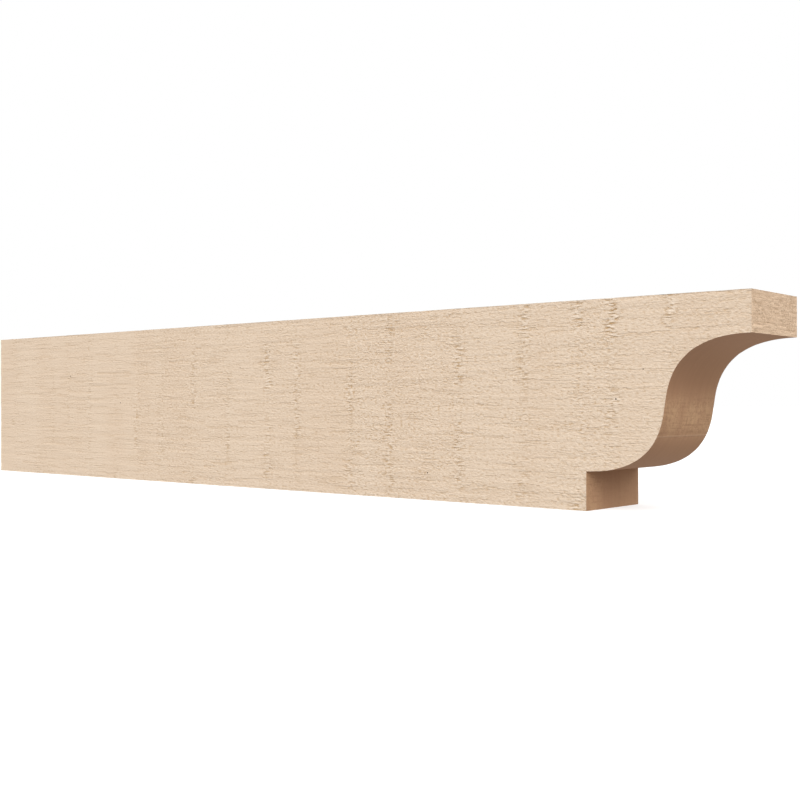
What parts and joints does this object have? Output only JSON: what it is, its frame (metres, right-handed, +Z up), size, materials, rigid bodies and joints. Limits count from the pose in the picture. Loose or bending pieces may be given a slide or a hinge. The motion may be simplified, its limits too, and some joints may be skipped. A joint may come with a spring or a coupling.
{
  "type": "rafter tail",
  "caption": "Rough-sawn timber rafter tail, square at the back, with a heel, an S-curved ogee and a thin square nose at its shaped end.",
  "frame": {"origin": "middle of the footprint, on the plane of the underside that the timber rests on", "axes": "+X along the timber towards the shaped nose, +Y across its thickness, away from the side that the picture shows, +Z up to the edge that carries the roof"},
  "size_m": [0.9144, 0.0762, 0.1524],
  "materials": {
    "rough_sawn_wood": "matte"
  },
  "bodies": {
    "root": {"rafter_tail": "rough_sawn_wood"}
  },
  "joints": []
}
